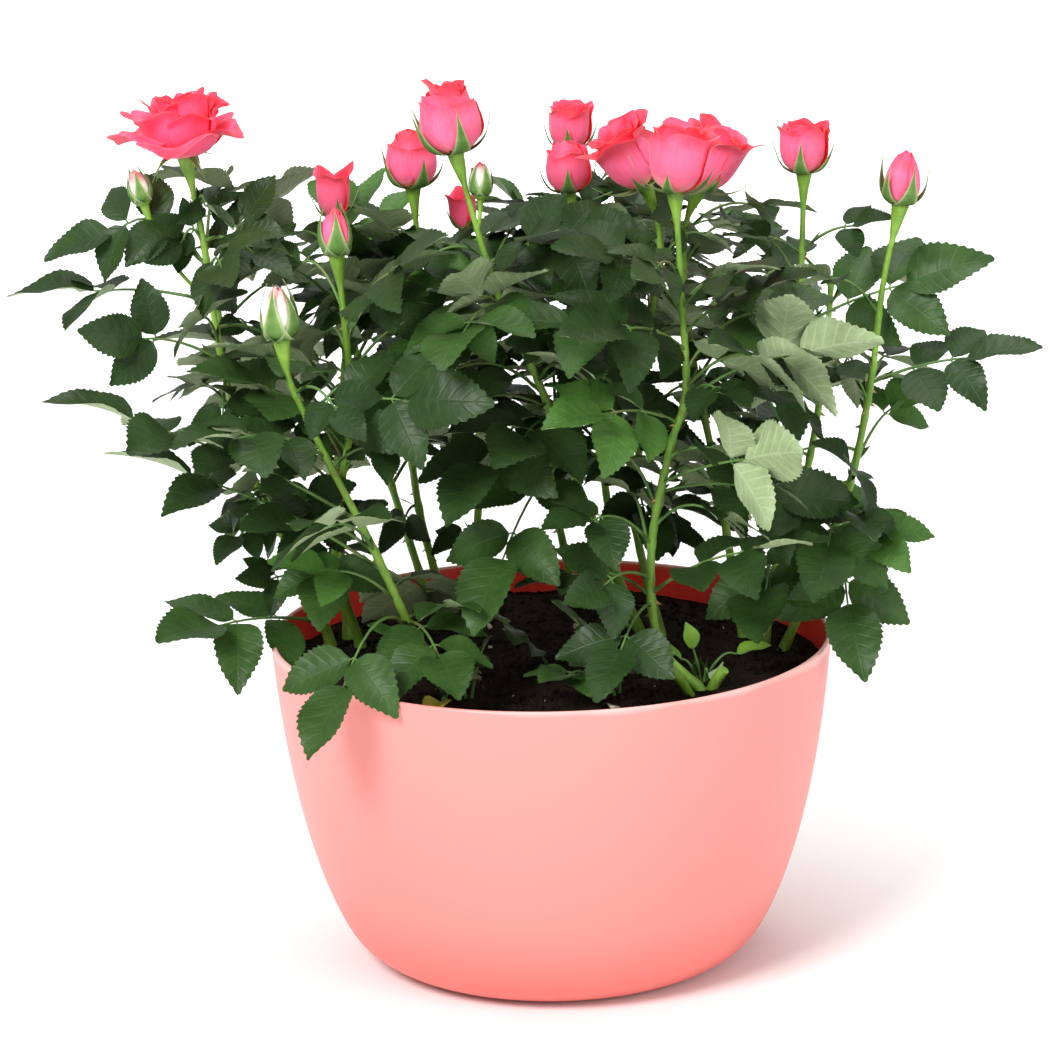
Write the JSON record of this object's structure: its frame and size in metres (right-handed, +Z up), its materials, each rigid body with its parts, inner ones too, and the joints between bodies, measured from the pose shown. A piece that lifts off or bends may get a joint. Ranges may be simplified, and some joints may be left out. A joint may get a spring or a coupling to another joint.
{
  "type": "rose bush in pot",
  "caption": "Small bushy rose with pink blooms on upright green canes and toothed compound leaves, growing in a round tapered salmon-pink plastic pot.",
  "frame": {"origin": "centre of the pot's flat underside, on the surface it stands on", "axes": "+Z up, the front of the bush towards -Y, +X to the right seen from the front"},
  "size_m": [0.431, 0.2883, 0.3843],
  "materials": {
    "pot_plastic": "satin",
    "potting_soil": "matte",
    "cane_bark": "satin",
    "leaf": "satin",
    "petal": "matte"
  },
  "bodies": {
    "root": {"cane_back_left": "cane_bark", "cane_back_middle": "cane_bark", "cane_centre": "cane_bark", "cane_centre_rear": "cane_bark", "cane_far_left_rear": "cane_bark", "cane_far_right_rear": "cane_bark", "cane_front_left": "cane_bark", "cane_front_right": "cane_bark", "cane_left_inner": "cane_bark", "cane_left_outer": "cane_bark", "cane_left_rear": "cane_bark", "cane_rear_left": "cane_bark", "cane_rear_middle": "cane_bark", "cane_rear_right": "cane_bark", "cane_right_inner": "cane_bark", "cane_right_outer": "cane_bark", "cane_right_rear": "cane_bark", "cane_right_upright": "cane_bark", "foliage_back_left": "leaf", "foliage_back_middle": "leaf", "foliage_centre": "leaf", "foliage_centre_rear": "leaf", "foliage_far_left_rear": "leaf", "foliage_far_right_rear": "leaf", "foliage_front_left": "leaf", "foliage_front_right": "leaf", "foliage_left_inner": "leaf", "foliage_left_outer": "leaf", "foliage_left_rear": "leaf", "foliage_rear_left": "leaf", "foliage_rear_middle": "leaf", "foliage_rear_right": "leaf", "foliage_right_inner": "leaf", "foliage_right_outer": "leaf", "foliage_right_rear": "leaf", "foliage_right_upright": "leaf", "pot": "pot_plastic", "rose_back_left": "petal", "rose_back_middle": "petal", "rose_centre": "petal", "rose_centre_rear": "petal", "rose_front_left": "petal", "rose_front_right": "petal", "rose_left_inner": "petal", "rose_left_outer": "petal", "rose_left_rear": "petal", "rose_rear_middle": "petal", "rose_right_inner": "petal", "rose_right_outer": "petal", "rose_right_rear": "petal", "rose_right_upright": "petal", "soil": "potting_soil"}
  },
  "joints": []
}
